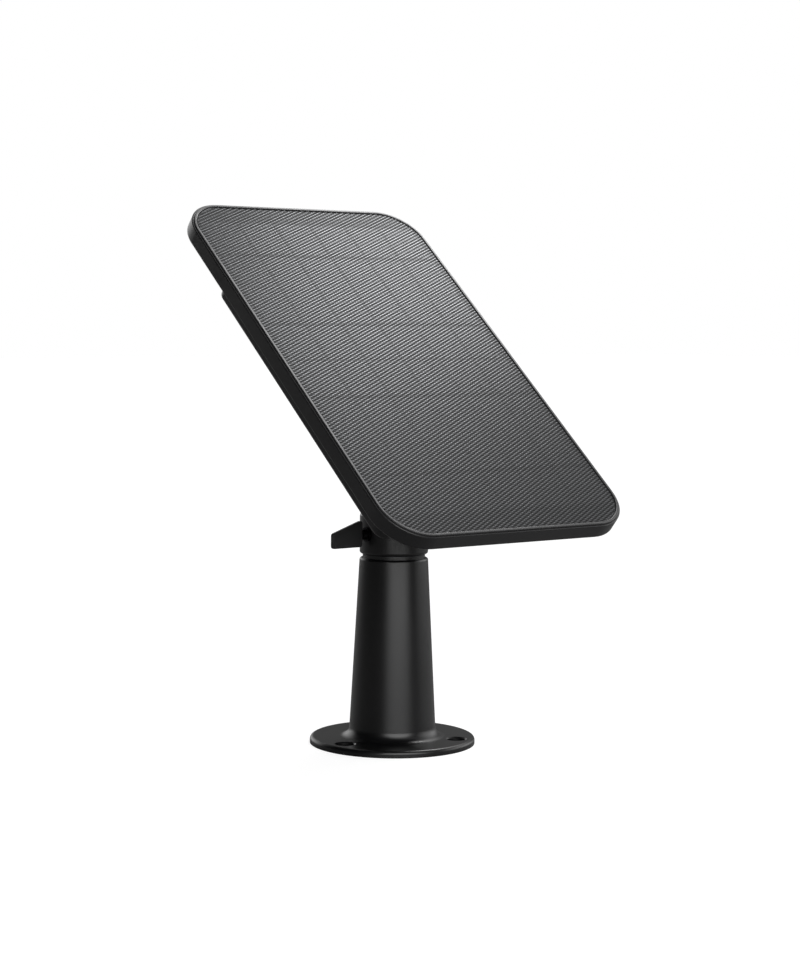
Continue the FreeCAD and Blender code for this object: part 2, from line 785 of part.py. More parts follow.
def build_stud():
    """The pieces on the ball stud's axis."""
    save("ball_stud", placed(make_ball_stud(), STUD_PLACE))
    save("lock_wheel", placed(make_lock_wheel(), STUD_PLACE))
    save("stud_washer", placed(make_stud_washer(), STUD_PLACE))


def build_head():
    """The cup with its ring, seat, clamp and lever."""
    save("head_shell", make_head_shell())
    save("retaining_ring", make_retaining_ring())
    save("ball_seat", make_ball_seat())
    save("seat_spring", make_seat_spring())
    save("clamp_bush", make_clamp_bush())
    save("pressure_shoe", make_pressure_shoe())
    save("clamp_screw", make_clamp_screw())
    save("lever_washer", make_lever_washer())
    save("lever_paddle", make_lever_paddle())


def build_stand():
    """The stand and the swivel that carries the head."""
    save("stand_cone", make_stand_cone())
    save("base_pad", make_base_pad())
    save("neck_ring", make_neck_ring())
    save("swivel_washer", make_swivel_washer())
    save("swivel_bolt", make_swivel_bolt())
    save("swivel_nut", make_swivel_nut())


build_panel()
build_stud()
build_head()
build_stand()
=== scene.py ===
import json
import math

import bpy
import numpy as np
from bpy.props import FloatProperty, FloatVectorProperty, PointerProperty
from mathutils import Matrix, Vector


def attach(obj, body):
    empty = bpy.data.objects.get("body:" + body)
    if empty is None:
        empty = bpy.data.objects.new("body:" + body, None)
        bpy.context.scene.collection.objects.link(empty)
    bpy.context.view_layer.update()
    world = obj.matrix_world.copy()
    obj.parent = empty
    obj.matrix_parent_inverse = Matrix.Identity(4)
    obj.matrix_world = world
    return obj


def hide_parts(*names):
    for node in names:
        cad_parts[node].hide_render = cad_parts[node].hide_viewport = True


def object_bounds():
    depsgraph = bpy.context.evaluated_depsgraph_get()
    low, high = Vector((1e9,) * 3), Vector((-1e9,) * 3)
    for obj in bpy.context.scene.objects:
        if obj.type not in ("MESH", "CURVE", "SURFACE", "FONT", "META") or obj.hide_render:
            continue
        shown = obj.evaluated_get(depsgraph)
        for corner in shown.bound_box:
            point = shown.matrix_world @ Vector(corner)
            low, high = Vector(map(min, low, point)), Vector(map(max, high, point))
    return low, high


bl_info = {
    "name": "Solar Panel Stand",
    "version": (1, 0, 0),
    "blender": (4, 5, 0),
    "location": "View3D > Sidebar > Solar Panel",
    "description": "Finishes and stage for a small solar panel on a ball-head stand",
    "category": "Object",
}

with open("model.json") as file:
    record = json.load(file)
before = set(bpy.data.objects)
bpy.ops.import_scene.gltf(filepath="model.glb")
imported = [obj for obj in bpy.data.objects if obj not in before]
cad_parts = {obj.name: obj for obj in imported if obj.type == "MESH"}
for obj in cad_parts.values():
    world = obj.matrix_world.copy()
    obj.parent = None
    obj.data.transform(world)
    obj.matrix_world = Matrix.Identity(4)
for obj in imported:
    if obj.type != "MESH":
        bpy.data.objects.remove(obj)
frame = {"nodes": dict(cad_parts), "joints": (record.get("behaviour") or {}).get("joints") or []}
NODES = frame["nodes"]
CAD_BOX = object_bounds()
MM = 0.001
CELL_COLUMNS = 6

# two places this close, in metres, are the same
SAME_PLACE = 1e-6

# noise values lie mostly between these two
NOISE_LOW = 0.3
NOISE_HIGH = 0.7

# how the film's painted glint and painted shade follow its relief, from 0 in a hollow to 1 on a bump: the
# base colour goes light on the bumps as a painted glint and dark in the hollows as painted shade
GLINT_START = 0.38
GLINT_FULL = 0.76
GLINT_OVER_GAPS = 0.8
GLINT_OVER_FINGERS = 0.85
FINGER_HALF_WIDTH = 0.12
LINE_SOFTNESS = 0.35
HOLLOW_ROUGHNESS = 0.6
BUMP_ROUGHNESS = 0.2
BUMP_METALLIC = 0.9
FILM_SPECULAR = 0.15

# the camera's lens and sensor in millimetres
LENS = 81.25
SENSOR_WIDTH = 36.0

# the floor's own glow to the camera, which lifts it to the backdrop's white
FLOOR_GLOW = 0.85


# ---- frame facts --------------------------------------------------------------

def joint(name):
    """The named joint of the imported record."""
    return next(j for j in frame["joints"] if j["name"] == name)


def panel_axes():
    """The panel's own axes as rows (across, up the face, out of the face), and the ball's centre."""
    spin = joint("panel_spin")
    out = np.array(spin["axis"], float)
    out /= np.linalg.norm(out)
    across = np.array([1.0, 0.0, 0.0])
    return np.array([across, np.cross(out, across), out]), np.array(spin["pos_m"], float)


def node_points(name):
    """A CAD node's vertices as rows of (across, up, out) in the panel's own axes, from the ball's centre."""
    mesh = NODES[name].data
    points = np.empty(len(mesh.vertices) * 3)
    mesh.vertices.foreach_get("co", points)
    axes, ball = panel_axes()
    return (points.reshape(-1, 3) - ball) @ axes.T


def middle(name):
    """The middle of a CAD node's box in the panel's own axes."""
    points = node_points(name)
    return (points.min(axis=0) + points.max(axis=0)) / 2


# ---- colour and node helpers ---------------------------------------------------

def linear(hex_colour):
    """Turns an sRGB hex colour into linear RGB by the sRGB curve."""
    parts = [int(hex_colour[k:k + 2], 16) / 255 for k in (1, 3, 5)]
    return tuple(c / 12.92 if c <= 0.04045 else ((c + 0.055) / 1.055) ** 2.4 for c in parts)


def rgba(colour, level=1.0):
    """A linear RGB colour made lighter or darker by a factor, with full alpha."""
    return (*(c * level for c in colour), 1.0)


def put(tree, kind, settings=None, inputs=None):
    """Adds a node of that kind with its settings; each input takes a plain value or another node's output."""
    node = tree.nodes.new(kind)
    for key, value in (settings or {}).items():
        setattr(node, key, value)
    for key, value in (inputs or {}).items():
        if isinstance(value, bpy.types.NodeSocket):
            tree.links.new(value, node.inputs[key])
        else:
            node.inputs[key].default_value = value
    return node


def new_material(name, colour, roughness, metallic=0.0, ior=1.5):
    """A material with its Principled shader set from plain values; returns it, its tree and the shader."""
    material = bpy.data.materials.new(name)
    material.use_nodes = True
    tree = material.node_tree
    shader = tree.nodes["Principled BSDF"]
    shader.inputs["Base Color"].default_value = rgba(colour)
    shader.inputs["Roughness"].default_value = roughness
    shader.inputs["Metallic"].default_value = metallic
    shader.inputs["IOR"].default_value = ior
    return material, tree, shader


def object_noise(tree, size_mm, detail=2.0, stretch=(1.0, 1.0, 1.0)):
    """Noise whose lumps are that many millimetres across, stretched along the object's axes."""
    place = put(tree, "ShaderNodeTexCoord")
    turn = put(tree, "ShaderNodeMapping", None, {"Vector": place.outputs["Object"], "Scale": stretch})
    noise = put(tree, "ShaderNodeTexNoise", None,
                {"Vector": turn.outputs["Vector"], "Scale": 1 / (size_mm * MM), "Detail": detail})
    return noise.outputs["Fac"]


def blend_colours(tree, shader, share, first, second):
    """Colours the surface from the first colour, where the share is 0, to the second, where it is 1."""
    mix = put(tree, "ShaderNodeMix", {"data_type": "RGBA"}, {0: share, 6: first, 7: second})
    tree.links.new(mix.outputs[2], shader.inputs["Base Color"])


def mottle(tree, shader, colour, size_mm, change):
    """Lets the colour drift lighter and darker by a small share over patches of that size."""
    cloud = object_noise(tree, size_mm, detail=4.0)
    blend_colours(tree, shader, cloud, rgba(colour, 1 - change), rgba(colour, 1 + change))


def vary_gloss(tree, shader, noise, smooth, rough):
    """Lets the roughness go from smooth to rough over the noise's usual range."""
    gloss = put(tree, "ShaderNodeMapRange", None,
                {"Value": noise, "From Min": NOISE_LOW, "From Max": NOISE_HIGH,
                 "To Min": smooth, "To Max": rough})
    tree.links.new(gloss.outputs["Result"], shader.inputs["Roughness"])


def roughen(tree, shader, height, depth_mm):
    """Presses a height pattern into the surface as bump of that depth."""
    bump = put(tree, "ShaderNodeBump", None, {"Height": height, "Strength": 1.0, "Distance": depth_mm * MM})
    tree.links.new(bump.outputs["Normal"], shader.inputs["Normal"])


def moulded(name, colour, grain_mm, depth_mm, smooth, rough, change=0.12, ior=1.5):
    """A moulded surface: fine grain, a little colour drift and patches of more and less gloss.

    Real grain is often a tenth of a millimetre; here it is drawn a few times coarser, so that it shows.
    """
    material, tree, shader = new_material(name, colour, (smooth + rough) / 2, 0.0, ior)
    mottle(tree, shader, colour, size_mm=9.0, change=change)
    roughen(tree, shader, object_noise(tree, grain_mm), depth_mm)
    vary_gloss(tree, shader, object_noise(tree, size_mm=22.0, detail=3.0), smooth, rough)
    return material


def machined(name, colour, smooth, rough, line_mm=0.35, stretch=(1.0, 1.0, 6.0)):
    """A cut or rolled metal: fine tool lines along one way, which also break up the gloss.

    Real tool lines are a few hundredths of a millimetre apart; they are drawn coarser, so that they show.
    """
    material, tree, shader = new_material(name, colour, (smooth + rough) / 2, 1.0)
    lines = object_noise(tree, line_mm, stretch=stretch)
    vary_gloss(tree, shader, lines, smooth, rough)
    roughen(tree, shader, lines, depth_mm=0.006)
    mottle(tree, shader, colour, size_mm=6.0, change=0.08)
    return material


def dress(material, *nodes):
    """Gives CAD nodes this material in every slot."""
    for name in nodes:
        obj = NODES[name]
        if not obj.data.materials:
            obj.data.materials.append(material)
        for slot in obj.material_slots:
            slot.material = material


# ---- the embossed film ------------------------------------------------------------

def rounded_half_width(y, half_width, half_length, corner):
    """Half a rounded rectangle's width at height y: full on the sides, a circle's chord in the corners."""
    into_corner = np.clip(np.abs(y) - (half_length - corner), 0.0, corner)
    return half_width - corner + np.sqrt(corner ** 2 - into_corner ** 2)


def embossed_height(x, y, across, along, height):
    """Egg-crate relief, so that bumps of one column fall between those of the next.

    It is half the height times cos(pi x / across) times cos(2 pi y / along).
    """
    return height / 2 * np.cos(math.pi * x / across) * np.cos(2 * math.pi * y / along)


def film_mesh(sizes):
    """The closed film as points and faces in the panel's axes, about its middle.

    The top is a grid of half a column pitch by a quarter of a row pitch, with its height from
    embossed_height. Points past the rounded outline are drawn in to it and merged, and the relief
    fades out over the last half pitch. A straight skirt goes down from the rim.
    """
    points = node_points("cover_film")
    low, high = points.min(axis=0), points.max(axis=0)
    half_width, half_length, half_thickness = (high - low) / 2
    straight_top = points[points[:, 0] > high[0] - SAME_PLACE][:, 1].max()
    corner = high[1] - straight_top
    step_x, step_y = sizes.relief_across / 2, sizes.relief_along / 4
    columns = np.arange(-math.ceil(half_width / step_x), math.ceil(half_width / step_x) + 1) * step_x
    rows = np.arange(-math.floor(half_length / step_y), math.floor(half_length / step_y) + 1) * step_y
    rows = np.concatenate(([-half_length], rows[1:-1], [half_length]))
    reach = rounded_half_width(rows, half_width, half_length, corner)
    x, y = np.meshgrid(columns, rows)
    room = reach[:, None] - np.abs(x)
    fade = np.clip(room / step_x, 0.0, 1.0) * np.clip((half_length - np.abs(y)) / step_x, 0.0, 1.0)
    relief = embossed_height(x, y, sizes.relief_across, sizes.relief_along, sizes.relief_height) * fade
    x = np.clip(x, -reach[:, None], reach[:, None])
    first = np.argmax(room > 0, axis=1) - 1
    last = len(columns) - 1 - first
    index, triangles = grid_triangles(x.shape, first, last)
    bottom = index[0, first[0]:last[0]]
    right = index[np.arange(len(rows) - 1), last[:-1]]
    upper = index[-1, first[-1] + 1:last[-1] + 1][::-1]
    left = index[np.arange(1, len(rows)), first[1:]][::-1]
    rim = np.concatenate([bottom, right, upper, left])
    top = np.stack([x, y, relief + half_thickness], -1).reshape(-1, 3)
    skirt = top[rim].copy()
    skirt[:, 2] = -half_thickness
    return top, skirt, relief.ravel(), triangles, rim, (low + high) / 2


def grid_triangles(shape, first, last):
    """Point numbers of a grid whose rows run from first to last, and its triangles, without empty ones.

    Past a row's ends the numbers repeat its end points, which merges what lies outside the outline.
    """
    index = np.arange(shape[0] * shape[1]).reshape(shape)
    index = index[:, :1] + np.clip(np.arange(shape[1])[None, :], first[:, None], last[:, None])
    a, b, c, d = index[:-1, :-1], index[:-1, 1:], index[1:, 1:], index[1:, :-1]
    triangles = np.concatenate([np.stack(three, -1).reshape(-1, 3) for three in ((a, b, c), (a, c, d))])
    whole = (triangles != np.roll(triangles, -1, axis=1)).all(axis=1)
    return index, triangles[whole]


def build_film(sizes):
    """Makes the film's object: the embossed top, its skirt and its flat underside.

    The crest attribute is 0 in a hollow, a half on the mean surface and 1 on a bump.
    """
    top, skirt, relief, triangles, rim, centre = film_mesh(sizes)
    used = np.unique(np.concatenate([triangles.ravel(), rim]))
    renumber = np.zeros(len(top), int)
    renumber[used] = np.arange(len(used))
    triangles, rim = renumber[triangles], renumber[rim]
    below = len(used) + np.arange(len(rim))
    wall = np.stack([rim, below, np.roll(below, -1), np.roll(rim, -1)], -1)
    local = np.concatenate([top[used], skirt]) + centre
    axes, ball = panel_axes()
    places = local @ axes + ball
    mesh = bpy.data.meshes.new("embossed_film")
    mesh.from_pydata(places.tolist(), [], triangles.tolist() + wall.tolist() + [below[::-1].tolist()])
    smooth = np.zeros(len(mesh.polygons), bool)
    smooth[:len(triangles)] = True
    mesh.polygons.foreach_set("use_smooth", smooth)
    corners = np.empty(len(mesh.loops), int)
    mesh.loops.foreach_get("vertex_index", corners)
    plan = mesh.uv_layers.new(name="cell_plan")
    plan.data.foreach_set("uv", cell_plan(local)[corners].ravel())
    crest = mesh.attributes.new("crest", "FLOAT", "POINT")
    height = np.concatenate([relief[used], np.zeros(len(rim))])
    crest.data.foreach_set("value", height / sizes.relief_height + 0.5)
    mesh.update()
    film = bpy.data.objects.new("embossed_film", mesh)
    bpy.context.scene.collection.objects.link(film)
    return film


def cell_sizes():
    """The cells' pitch across and along the panel, and the gap between them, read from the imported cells."""
    pitch = middle("cell_upper_2")[0] - middle("cell_upper_1")[0]
    bank = middle("cell_upper_1")[1] - middle("cell_lower_1")[1]
    cell = node_points("cell_upper_1")
    gap = pitch - (cell[:, 0].max() - cell[:, 0].min())
    return pitch, bank, gap


def cell_plan(local):
    """Panel places counted in cells.

    The first is whole on a gap between columns, and the second is 0 at the middle and 1 at the ends.
    """
    pitch, bank, _ = cell_sizes()
    middle_x = (middle("cell_upper_1")[0] + middle("cell_upper_6")[0]) / 2
    middle_y = (middle("cell_upper_1")[1] + middle("cell_lower_1")[1]) / 2
    return np.stack([(local[:, 0] - middle_x) / pitch, (local[:, 1] - middle_y) / bank], -1)


def clear_of(tree, distance, half_width):
    """0 on a line of that half width, 1 clear of it, with a soft edge."""
    soft = LINE_SOFTNESS * half_width
    edge = put(tree, "ShaderNodeMapRange", None,
               {"Value": distance, "From Min": half_width - soft, "From Max": half_width + soft})
    return edge.outputs["Result"]


def inside_of(tree, distance, gap, limit):
    """1 well inside the limit, falling to 0 at it over the width of a gap."""
    edge = put(tree, "ShaderNodeMapRange", None,
               {"Value": distance, "From Min": limit - gap, "From Max": limit, "To Min": 1.0, "To Max": 0.0})
    return edge.outputs["Result"]


def cell_cover(tree, sizes):
    """1 over a cell and 0 on its gaps, ribbons and borders, with the fine silver fingers a shade below 1."""
    pitch, bank, gap = cell_sizes()
    plan = put(tree, "ShaderNodeUVMap", {"uv_map": "cell_plan"})
    split = put(tree, "ShaderNodeSeparateXYZ", None, {"Vector": plan.outputs["UV"]})
    u, v = split.outputs["X"], split.outputs["Y"]
    height = put(tree, "ShaderNodeMath", {"operation": "ABSOLUTE"}, {0: v}).outputs[0]
    off_middle = put(tree, "ShaderNodeMath", {"operation": "ABSOLUTE"}, {0: u}).outputs[0]
    to_column = put(tree, "ShaderNodeMath", {"operation": "PINGPONG"}, {0: u, 1: 0.5}).outputs[0]
    # two ribbons cross each cell, a quarter of its length from either end
    halves = put(tree, "ShaderNodeMath", {"operation": "MULTIPLY_ADD"}, {0: v, 1: 2.0, 2: -0.5}).outputs[0]
    to_ribbon = put(tree, "ShaderNodeMath", {"operation": "PINGPONG"}, {0: halves, 1: 0.5}).outputs[0]
    cover = clear_of(tree, to_column, gap / pitch / 2)
    for line in (clear_of(tree, to_ribbon, sizes.ribbon_width / bank),
                 clear_of(tree, height, gap / bank / 2),
                 inside_of(tree, height, gap / bank, 1.0),
                 inside_of(tree, off_middle, gap / pitch, CELL_COLUMNS / 2)):
        cover = put(tree, "ShaderNodeMath", {"operation": "MINIMUM"}, {0: cover, 1: line}).outputs[0]
    fingers = put(tree, "ShaderNodeMath", {"operation": "MULTIPLY"}, {0: u, 1: pitch / sizes.finger_spacing})
    to_finger = put(tree, "ShaderNodeMath", {"operation": "PINGPONG"}, {0: fingers.outputs[0], 1: 0.5})
    clear = clear_of(tree, to_finger.outputs[0], FINGER_HALF_WIDTH)
    shade = put(tree, "ShaderNodeMix", None, {0: clear, 2: GLINT_OVER_FINGERS, 3: 1.0})
    return put(tree, "ShaderNodeMath", {"operation": "MULTIPLY"}, {0: cover, 1: shade.outputs[0]}).outputs[0]


def film_material(sizes, colours):
    """Embossed fluoropolymer film, hot-pressed over black cells: clear and glossy.

    Its base colour is painted: dark in the hollows as painted shade and light on each bump as a painted
    glint, with the cells' gaps and ribbons a shade darker.
    """
    material, tree, shader = new_material("embossed_film_painted_glint_and_shade", colours.cell, BUMP_ROUGHNESS,
                                          ior=1.42)
    crest = put(tree, "ShaderNodeAttribute", {"attribute_name": "crest"})
    glint = put(tree, "ShaderNodeMapRange", None,
                {"Value": crest.outputs["Fac"], "From Min": GLINT_START, "From Max": GLINT_FULL})
    shade = put(tree, "ShaderNodeMix", None, {0: cell_cover(tree, sizes), 2: GLINT_OVER_GAPS, 3: 1.0})
    lit = put(tree, "ShaderNodeMath", {"operation": "MULTIPLY"},
              {0: glint.outputs["Result"], 1: shade.outputs[0]}).outputs[0]
    # painted glint and painted shade: the base colour goes from the dark hollow colour to the light bump
    # colour with the relief's height
    blend_colours(tree, shader, lit, rgba(colours.painted_hollow_shade_and_gaps), rgba(colours.cell))
    roughness = put(tree, "ShaderNodeMix", None, {0: lit, 2: HOLLOW_ROUGHNESS, 3: BUMP_ROUGHNESS})
    tree.links.new(roughness.outputs[0], shader.inputs["Roughness"])
    metallic = put(tree, "ShaderNodeMix", None, {0: glint.outputs["Result"], 2: 0.0, 3: BUMP_METALLIC})
    tree.links.new(metallic.outputs[0], shader.inputs["Metallic"])
    shader.inputs["Specular IOR Level"].default_value = FILM_SPECULAR
    return material


# ---- stage ---------------------------------------------------------------------------

def camera_axes(sizes):
    """The camera's turn: level and facing +Y, swung to its azimuth, tipped down, then rolled."""
    swing = Matrix.Rotation(-sizes.camera_azimuth, 4, "Z")
    tip = Matrix.Rotation(math.pi / 2 - sizes.camera_pitch, 4, "X")
    return swing @ tip @ Matrix.Rotation(sizes.camera_roll, 4, "Z")


def add_camera(sizes):
    """A long lens that looks beside and above the stand's foot, from the named distance."""
    data = bpy.data.cameras.new("camera")
    data.lens = LENS
    data.sensor_width = SENSOR_WIDTH
    camera = bpy.data.objects.new("camera", data)
    axes = camera_axes(sizes)
    foot = Vector((sizes.aim_side, sizes.aim_height, sizes.camera_distance))
    camera.matrix_world = Matrix.Translation(axes.to_3x3() @ foot) @ axes
    bpy.context.scene.collection.objects.link(camera)
    bpy.context.scene.camera = camera


# each soft light: its bearing from the camera's own (degrees, right is positive), its height above the
# horizon, the half-angle of its full part and of its edge, and its strength
SOFT_LIGHTS = (
    ("front_softbox", 16, 8, 16, 42, 5.2),
    ("right_strip", 112, 8, 10, 44, 2.5),
    ("rear_top_softbox", 160, 50, 6, 30, 2.0),
    ("left_rear_strip", -146, 6, 5, 32, 1.9),
    ("rear_strip", 168, 10, 6, 34, 0.15),
    ("overhead", 60, 66, 5, 34, 0.9),
)
AMBIENT = 0.01


def light_direction(bearing, height, azimuth):
    """The unit vector towards a light, from its bearing right of the camera and its height."""
    around = azimuth - math.radians(bearing)
    level = math.cos(math.radians(height))
    return (-math.sin(around) * level, -math.cos(around) * level, math.sin(math.radians(height)))


def add_soft_light(tree, direction, inner, outer, strength, so_far):
    """Adds one round soft light to the world's brightness: full inside one angle, gone outside the other."""
    place = put(tree, "ShaderNodeTexCoord")
    facing = put(tree, "ShaderNodeVectorMath", {"operation": "DOT_PRODUCT"},
                 {0: place.outputs["Generated"], 1: direction})
    glow = put(tree, "ShaderNodeMapRange", {"interpolation_type": "SMOOTHSTEP"},
               {"Value": facing.outputs["Value"], "From Min": math.cos(math.radians(outer)),
                "From Max": math.cos(math.radians(inner)), "To Min": 0.0, "To Max": strength})
    total = put(tree, "ShaderNodeMath", {"operation": "ADD"}, {0: so_far, 1: glow.outputs["Result"]})
    return total.outputs["Value"]


def add_world(sizes):
    """A studio of soft lights around the object, in front of a plain pale backdrop.

    The camera sees the backdrop and every other ray sees the lights, so the backdrop's white doesn't
    wash out the dark surfaces.
    """
    world = bpy.data.worlds.new("studio")
    bpy.context.scene.world = world
    world.use_nodes = True
    tree = world.node_tree
    tree.nodes.clear()
    ambient = put(tree, "ShaderNodeValue")
    ambient.outputs[0].default_value = AMBIENT
    light = ambient.outputs[0]
    for _, bearing, height, inner, outer, strength in SOFT_LIGHTS:
        direction = light_direction(bearing, height, sizes.camera_azimuth)
        light = add_soft_light(tree, direction, inner, outer, strength, light)
    lit = put(tree, "ShaderNodeBackground", None, {"Strength": light})
    backdrop = put(tree, "ShaderNodeBackground", None, {"Color": (1.0, 1.0, 1.0, 1.0), "Strength": 1.0})
    path = put(tree, "ShaderNodeLightPath")
    mix = put(tree, "ShaderNodeMixShader", None,
              {0: path.outputs["Is Camera Ray"], 1: lit.outputs[0], 2: backdrop.outputs[0]})
    put(tree, "ShaderNodeOutputWorld", None, {"Surface": mix.outputs[0]})


def add_near_softbox(sizes):
    """A square soft light close over the panel's top, on its right, aimed down the face.

    Being near, it fades from the face's top right to its bottom left. The camera doesn't see it.
    """
    data = bpy.data.lights.new("near_softbox", "AREA")
    data.size = sizes.near_light_size
    data.energy = sizes.near_light_power
    aim = Vector(sizes.near_light_aim)
    place = Vector(sizes.near_light_place)
    light = bpy.data.objects.new("near_softbox", data)
    light.location = place
    light.rotation_euler = (aim - place).to_track_quat("-Z", "Y").to_euler()
    light.visible_camera = False
    bpy.context.scene.collection.objects.link(light)


def add_floor(sizes, colours):
    """A wide, pale, matt floor at the height of the stand's foot.

    Its glow goes to the camera alone, so it looks as pale as the backdrop and lights nothing.
    """
    half = sizes.floor_span / 2
    height = CAD_BOX[0][2]
    corners = [(x * half, y * half, height) for x, y in ((-1, -1), (1, -1), (1, 1), (-1, 1))]
    mesh = bpy.data.meshes.new("floor")
    mesh.from_pydata(corners, [], [(0, 1, 2, 3)])
    floor = bpy.data.objects.new("floor", mesh)
    bpy.context.scene.collection.objects.link(floor)
    material, tree, shader = new_material("matt_painted_floor", colours.floor, 0.9)
    shader.inputs["Emission Color"].default_value = (1.0, 1.0, 1.0, 1.0)
    path = put(tree, "ShaderNodeLightPath")
    glow = put(tree, "ShaderNodeMath", {"operation": "MULTIPLY"},
               {0: path.outputs["Is Camera Ray"], 1: FLOOR_GLOW})
    tree.links.new(glow.outputs["Value"], shader.inputs["Emission Strength"])
    mesh.materials.append(material)
    return floor


# ---- properties ----------------------------------------------------------------------

def size_property(name, description, default):
    """A length that the user can change."""
    return FloatProperty(name=name, description=description, default=default, unit="LENGTH")


def angle_property(name, description, degrees):
    """An angle that the user can change, with its default in degrees."""
    return FloatProperty(name=name, description=description, default=math.radians(degrees), subtype="ANGLE")


def place_property(name, description, default):
    """A point that the user can change."""
    return FloatVectorProperty(name=name, description=description, default=default, size=3,
                               subtype="XYZ", unit="LENGTH")


def colour_property(name, description, hex_colour):
    """A colour that the user can change, with its default as an sRGB hex value."""
    return FloatVectorProperty(name=name, description=description, subtype="COLOR", size=3,
                               min=0.0, max=1.0, default=linear(hex_colour))


class SolarSizes(bpy.types.PropertyGroup):
    """Sizes of the film's pattern, the camera, the near light and the floor"""
    relief_across: size_property("Relief across", "Distance between the film's columns of bumps", 1.474 * MM)
    relief_along: size_property("Relief along", "Distance between bumps in one column", 1.504 * MM)
    relief_height: size_property("Relief height", "Height of the film's bumps over its hollows", 0.24 * MM)
    ribbon_width: size_property("Ribbon width", "Width of the ribbons across the cells", 1.9 * MM)
    finger_spacing: size_property("Finger spacing", "Distance between a cell's fine silver lines", 1.62 * MM)
    camera_azimuth: angle_property("Camera azimuth", "How far the camera stands round to the left", 37.65)
    camera_pitch: angle_property("Camera pitch", "How far the camera looks down", 4.43)
    camera_roll: angle_property("Camera roll", "The camera's turn about its line of sight", 0.52)
    camera_distance: size_property("Camera distance", "From the camera to the stand's foot, in depth", 0.8595)
    aim_side: size_property("Aim side", "How far to the side of the foot the camera looks", 0.0031)
    aim_height: size_property("Aim height", "How far above the foot the camera looks", 0.1038)
    near_light_size: size_property("Near light size", "Side of the soft light over the panel", 0.16)
    near_light_power: FloatProperty(name="Near light power", default=0.75, unit="POWER",
                                    description="Power of the soft light over the panel")
    near_light_place: place_property("Near light place", "Where that light stands", (0.254, 0.109, 0.47))
    near_light_aim: place_property("Near light aim", "The point that it faces", (0.04, 0.05, 0.2))
    floor_span: size_property("Floor span", "Width of the square floor", 12.0)


class SolarColours(bpy.types.PropertyGroup):
    """Colours of the panel, the stand and the floor"""
    housing: colour_property("Housing", "The panel's moulded housing and cover", "#131314")
    # the bezel's colour is lighter than the housing's, a painted highlight on the rim
    bezel: colour_property("Bezel", "The rim round the panel's face", "#2c2c2d")
    # the Cells colour is the film's light bump colour, a painted glint over the cells; the gaps colour is the
    # film's hollows as painted shade together with the cells' real gaps and ribbons
    cell: colour_property("Cells", "The cells, seen through the film", "#525355")
    painted_hollow_shade_and_gaps: colour_property("Painted hollow shade and cell gaps", "The film's hollows and the cells' gaps and ribbons", "#020202")
    stand: colour_property("Stand", "The post, the flange and the head", "#0a0a0b")
    lever: colour_property("Lever", "The thumb lever", "#1c1c1d")
    rubber: colour_property("Rubber", "Pads, seals and washers", "#131313")
    steel: colour_property("Steel", "Zinc-plated bolt, nut, washer, spring and screws inside", "#9a9b9d")
    brass: colour_property("Brass", "The threaded insert", "#b08d4a")
    floor: colour_property("Floor", "The studio floor", "#8a8a8a")


# ---- operators -------------------------------------------------------------------------

class SOLAR_OT_film(bpy.types.Operator):
    """Make the embossed film that covers the cells"""
    bl_idname = "solar.film"
    bl_label = "Embossed film"

    def execute(self, context):
        film = build_film(context.scene.solar_sizes)
        film.data.materials.append(film_material(context.scene.solar_sizes, context.scene.solar_colours))
        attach(film, "panel")
        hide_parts("cover_film")
        return {"FINISHED"}


class SOLAR_OT_housing(bpy.types.Operator):
    """Finish the panel's housing, rear cover, bezel and gland"""
    bl_idname = "solar.housing"
    bl_label = "Housing"

    def execute(self, context):
        colours = context.scene.solar_colours
        # weatherproof ASA from a spark-eroded mould: a fine matt grain that softens every reflection
        housing = moulded("spark_grained_asa_housing", colours.housing, grain_mm=0.5, depth_mm=0.012,
                          smooth=0.32, rough=0.4)
        dress(housing, "rear_housing", "rear_cover")
        # the same ASA from a smoother mould, coloured lighter than the housing as a painted highlight, so the
        # rim shows a thin bright line
        bezel = moulded("smooth_asa_bezel_painted_highlight", colours.bezel, grain_mm=0.6, depth_mm=0.006,
                        smooth=0.36, rough=0.44)
        dress(bezel, "front_bezel")
        # glass-filled nylon: slightly dry and speckled
        gland = moulded("moulded_nylon_gland", colours.housing, grain_mm=0.4, depth_mm=0.03,
                        smooth=0.45, rough=0.6)
        dress(gland, "cable_gland")
        return {"FINISHED"}


class SOLAR_OT_laminate(bpy.types.Operator):
    """Finish the cells and the layers under the film"""
    bl_idname = "solar.laminate"
    bl_label = "Cells and laminate"

    def execute(self, context):
        cells = [f"cell_{bank}_{k}" for bank in ("upper", "lower") for k in range(1, CELL_COLUMNS + 1)]
        # coated silicon wafer: nearly black, with a faint crystal grain
        wafer = moulded("coated_silicon_wafer", linear("#15171d"), grain_mm=1.2, depth_mm=0.004,
                        smooth=0.18, rough=0.3, change=0.3, ior=1.6)
        dress(wafer, *cells)
        # clear lamination resin, poured and cured: smooth and dark over the cells
        resin = moulded("cured_lamination_resin", linear("#1d1e21"), grain_mm=3.0, depth_mm=0.004,
                        smooth=0.12, rough=0.2)
        dress(resin, "encapsulant")
        # glass-fibre laminate sheet with its weave pressed flat
        board = moulded("black_glass_fibre_laminate", linear("#121213"), grain_mm=0.8, depth_mm=0.02,
                        smooth=0.4, rough=0.55)
        dress(board, "backing_board")
        # tinned copper ribbon, rolled
        ribbon = machined("tinned_copper_ribbon", linear("#b9bab8"), smooth=0.22, rough=0.34,
                          line_mm=0.4, stretch=(1.0, 6.0, 1.0))
        dress(ribbon, "busbar_ribbons")
        # bare rolled copper strip
        lead = machined("rolled_copper_strip", linear("#b87348"), smooth=0.25, rough=0.4,
                        line_mm=0.4, stretch=(6.0, 1.0, 1.0))
        dress(lead, "lead_ribbons")
        # closed-cell foam, cut in strips: open pores on every face
        foam = moulded("closed_cell_foam", linear("#161616"), grain_mm=0.9, depth_mm=0.15,
                       smooth=0.85, rough=0.95, change=0.3)
        dress(foam, "support_pads")
        return {"FINISHED"}


